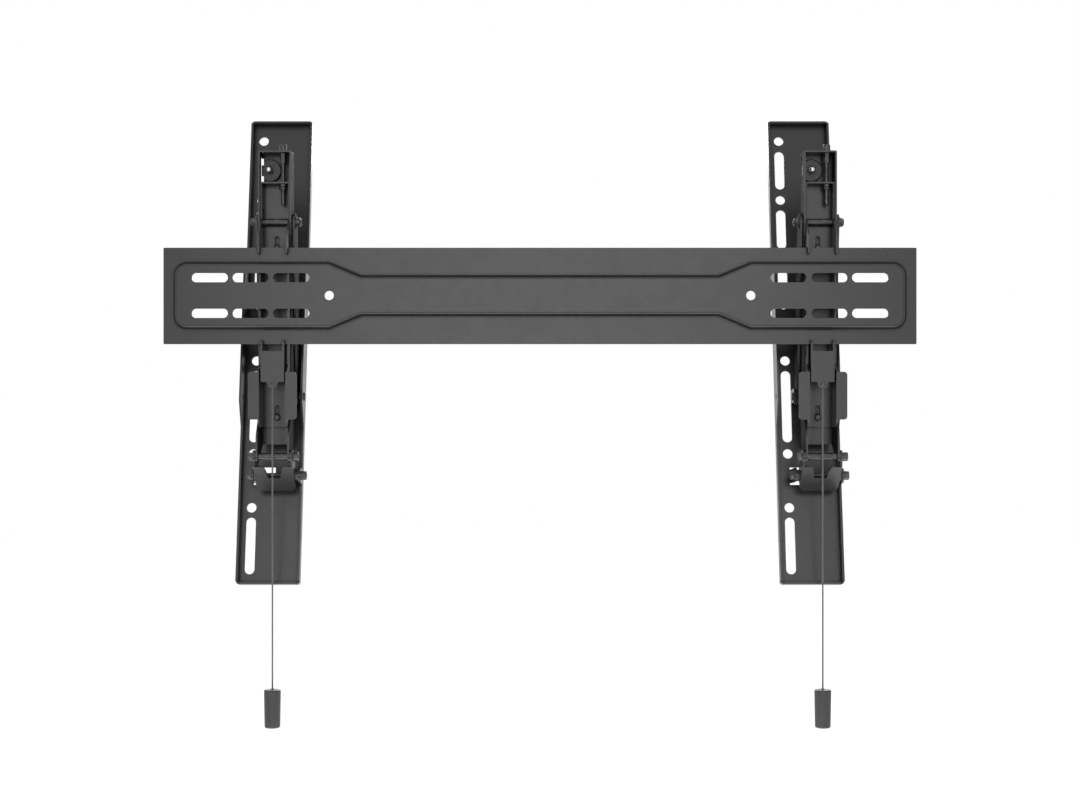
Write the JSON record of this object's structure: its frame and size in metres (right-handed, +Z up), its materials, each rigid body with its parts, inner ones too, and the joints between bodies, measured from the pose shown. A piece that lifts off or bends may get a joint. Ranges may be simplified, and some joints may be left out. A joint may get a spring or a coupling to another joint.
{
  "type": "tilting tv wall bracket",
  "caption": "Wall plate with hook-on tilting screen uprights, each with a level screw, a spring latch and a pull cord.",
  "frame": {"origin": "centre of the wall plate's slot pattern, on the face that touches the wall", "axes": "+X along the wall plate to the right seen from the wall, +Y from the wall toward the room, +Z up"},
  "size_m": [0.687, 0.1258, 0.5691],
  "materials": {
    "powder_coat": "satin black powder coat on pressed steel",
    "black_zinc": "black zinc-plated steel fasteners",
    "dark_wheel": "black knurled wheel",
    "spring_steel": "plain spring wire",
    "grey_cord": "thin grey braided cord",
    "grey_plastic": "dark grey moulded handle"
  },
  "bodies": {
    "wall_plate": {"wall_plate": "powder_coat"},
    "left_hanger": {"left_hook_channel": "powder_coat", "left_level_nut": "black_zinc", "left_latch_pin": "black_zinc", "left_latch_spring": "spring_steel"},
    "left_carrier": {"left_carriage": "powder_coat", "left_guide_rivets": "black_zinc", "left_upper_bolt": "black_zinc", "left_upper_nut": "black_zinc", "left_upper_washers": "black_zinc", "left_upper_spacer": "black_zinc", "left_lower_bolt": "black_zinc", "left_lower_nut": "black_zinc", "left_lower_washers": "black_zinc", "left_lower_spacer": "black_zinc", "left_wheel_stud": "black_zinc"},
    "left_screw": {"left_level_screw": "black_zinc", "left_level_collar": "black_zinc"},
    "left_wheel": {"left_thumbwheel": "dark_wheel"},
    "left_long_link": {"left_upper_link": "powder_coat"},
    "left_short_link": {"left_lower_link": "powder_coat"},
    "left_screen_arm": {"left_upright": "powder_coat", "left_tilt_bolt": "black_zinc", "left_tilt_nut": "black_zinc", "left_tilt_washers": "black_zinc", "left_link_pins": "black_zinc"},
    "left_catch": {"left_latch": "powder_coat", "left_pull_cord": "grey_cord", "left_cord_knot": "grey_cord", "left_pull_handle": "grey_plastic"},
    "right_hanger": {"right_hook_channel": "powder_coat", "right_level_nut": "black_zinc", "right_latch_pin": "black_zinc", "right_latch_spring": "spring_steel"},
    "right_carrier": {"right_carriage": "powder_coat", "right_guide_rivets": "black_zinc", "right_upper_bolt": "black_zinc", "right_upper_nut": "black_zinc", "right_upper_washers": "black_zinc", "right_upper_spacer": "black_zinc", "right_lower_bolt": "black_zinc", "right_lower_nut": "black_zinc", "right_lower_washers": "black_zinc", "right_lower_spacer": "black_zinc", "right_wheel_stud": "black_zinc"},
    "right_screw": {"right_level_screw": "black_zinc", "right_level_collar": "black_zinc"},
    "right_wheel": {"right_thumbwheel": "dark_wheel"},
    "right_long_link": {"right_upper_link": "powder_coat"},
    "right_short_link": {"right_lower_link": "powder_coat"},
    "right_screen_arm": {"right_upright": "powder_coat", "right_tilt_bolt": "black_zinc", "right_tilt_nut": "black_zinc", "right_tilt_washers": "black_zinc", "right_link_pins": "black_zinc"},
    "right_catch": {"right_latch": "powder_coat", "right_pull_cord": "grey_cord", "right_cord_knot": "grey_cord", "right_pull_handle": "grey_plastic"}
  },
  "joints": [
    {"name": "left_hook_slide", "type": "slide", "parent": "wall_plate", "child": "left_hanger", "axis": [1, 0, 0], "range_m": [-0.045, 0.15]},
    {"name": "left_level_slide", "type": "slide", "parent": "left_hanger", "child": "left_carrier", "axis": [0, 0, 1], "range_m": [-0.001, 0.009]},
    {"name": "left_level_screw_turn", "type": "hinge", "parent": "left_carrier", "child": "left_screw", "pos_m": [-0.2366, 0.0232, 0.11], "axis": [0, 0, 1], "range_deg": [-515, 4630]},
    {"name": "left_tilt", "type": "hinge", "parent": "left_carrier", "child": "left_short_link", "pos_m": [-0.2434, 0.0065, -0.1465], "axis": [1, 0, 0], "range_deg": [-15.44, 3.86]},
    {"name": "left_upright_hinge", "type": "hinge", "parent": "left_short_link", "child": "left_screen_arm", "pos_m": [-0.2434, 0.0267, -0.1645], "axis": [1, 0, 0], "range_deg": [-7, 28]},
    {"name": "left_upper_link_hinge", "type": "hinge", "parent": "left_carrier", "child": "left_long_link", "pos_m": [-0.2434, 0.0267, 0.0691], "axis": [1, 0, 0], "range_deg": [-7.6, 2]},
    {"name": "left_latch_slide", "type": "slide", "parent": "left_hanger", "child": "left_catch", "axis": [0, 0, -1], "range_m": [0, 0.009], "stiffness_N_per_m": 500, "deforming": ["left_latch_spring"]},
    {"name": "left_wheel_turn", "type": "hinge", "parent": "left_carrier", "child": "left_wheel", "pos_m": [-0.2498, 0.032, 0.1174], "axis": [0, 1, 0], "continuous": true},
    {"name": "right_hook_slide", "type": "slide", "parent": "wall_plate", "child": "right_hanger", "axis": [1, 0, 0], "range_m": [-0.15, 0.045]},
    {"name": "right_level_slide", "type": "slide", "parent": "right_hanger", "child": "right_carrier", "axis": [0, 0, 1], "range_m": [-0.001, 0.009]},
    {"name": "right_level_screw_turn", "type": "hinge", "parent": "right_carrier", "child": "right_screw", "pos_m": [0.264, 0.0232, 0.11], "axis": [0, 0, 1], "range_deg": [-515, 4630]},
    {"name": "right_tilt", "type": "hinge", "parent": "right_carrier", "child": "right_short_link", "pos_m": [0.2572, 0.0065, -0.1465], "axis": [1, 0, 0], "range_deg": [-15.44, 3.86]},
    {"name": "right_upright_hinge", "type": "hinge", "parent": "right_short_link", "child": "right_screen_arm", "pos_m": [0.2572, 0.0267, -0.1645], "axis": [1, 0, 0], "range_deg": [-7, 28]},
    {"name": "right_upper_link_hinge", "type": "hinge", "parent": "right_carrier", "child": "right_long_link", "pos_m": [0.2572, 0.0267, 0.0691], "axis": [1, 0, 0], "range_deg": [-7.6, 2]},
    {"name": "right_latch_slide", "type": "slide", "parent": "right_hanger", "child": "right_catch", "axis": [0, 0, -1], "range_m": [0, 0.009], "stiffness_N_per_m": 500, "deforming": ["right_latch_spring"]},
    {"name": "right_wheel_turn", "type": "hinge", "parent": "right_carrier", "child": "right_wheel", "pos_m": [0.2508, 0.032, 0.1174], "axis": [0, 1, 0], "continuous": true}
  ],
  "couplings": [
    {"joint": "left_level_screw_turn", "follows": "left_level_slide", "rad_per_m": 8976},
    {"joint": "left_upright_hinge", "follows": "left_tilt", "ratio": -1.777},
    {"joint": "left_upper_link_hinge", "follows": "left_tilt", "ratio": 0.48},
    {"joint": "right_level_screw_turn", "follows": "right_level_slide", "rad_per_m": 8976},
    {"joint": "right_upright_hinge", "follows": "right_tilt", "ratio": -1.777},
    {"joint": "right_upper_link_hinge", "follows": "right_tilt", "ratio": 0.48}
  ]
}
